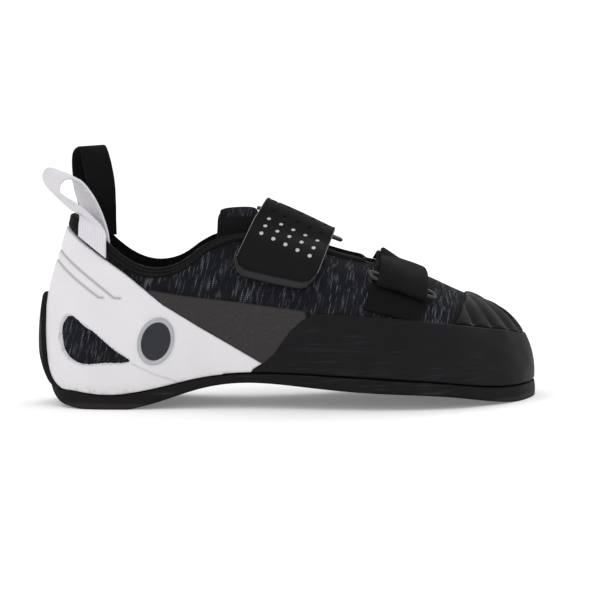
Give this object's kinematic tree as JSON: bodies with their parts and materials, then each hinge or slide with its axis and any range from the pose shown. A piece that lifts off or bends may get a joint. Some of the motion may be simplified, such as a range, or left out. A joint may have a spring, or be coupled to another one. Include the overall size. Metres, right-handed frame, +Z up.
{
  "type": "climbing shoe",
  "caption": "Right climbing shoe with a knitted upper, rubber rand, white heel cup, flat sole, hook-and-loop straps through wire rings and pull loops at the heel.",
  "frame": {"origin": "centre of the bounding box at the ground plane, under the sole", "axes": "+X towards the toe, +Y towards the inner side of the foot, +Z up"},
  "size_m": [0.25, 0.0882, 0.1282],
  "materials": {
    "knit": "matt heathered knit",
    "insole_board": "matt board",
    "sole_rubber": "satin black rubber",
    "rand_rubber": "satin black rubber",
    "cup_rubber": "satin white rubber",
    "panel_suede": "matt microfibre",
    "binding": "matt woven tape",
    "strap_face": "matt coated fabric",
    "webbing": "matt elastic webbing",
    "white_webbing": "matt white webbing",
    "ring_metal": "satin dark wire",
    "badge_plate": "matt plate"
  },
  "bodies": {
    "root": {"upper": "knit", "insole": "insole_board", "sole": "sole_rubber", "heel_strip": "sole_rubber", "rand": "rand_rubber", "heel_cup": "cup_rubber", "panel_outer": "panel_suede", "panel_inner": "panel_suede", "toe_patch": "rand_rubber", "collar_binding": "binding", "throat_binding_outer": "binding", "throat_binding_inner": "binding", "tongue": "binding", "upper_strap": "strap_face", "front_strap": "webbing", "front_webbing": "webbing", "loop_outer": "white_webbing", "loop_inner": "webbing", "upper_ring": "ring_metal", "front_ring": "ring_metal", "badge": "badge_plate"}
  },
  "joints": []
}
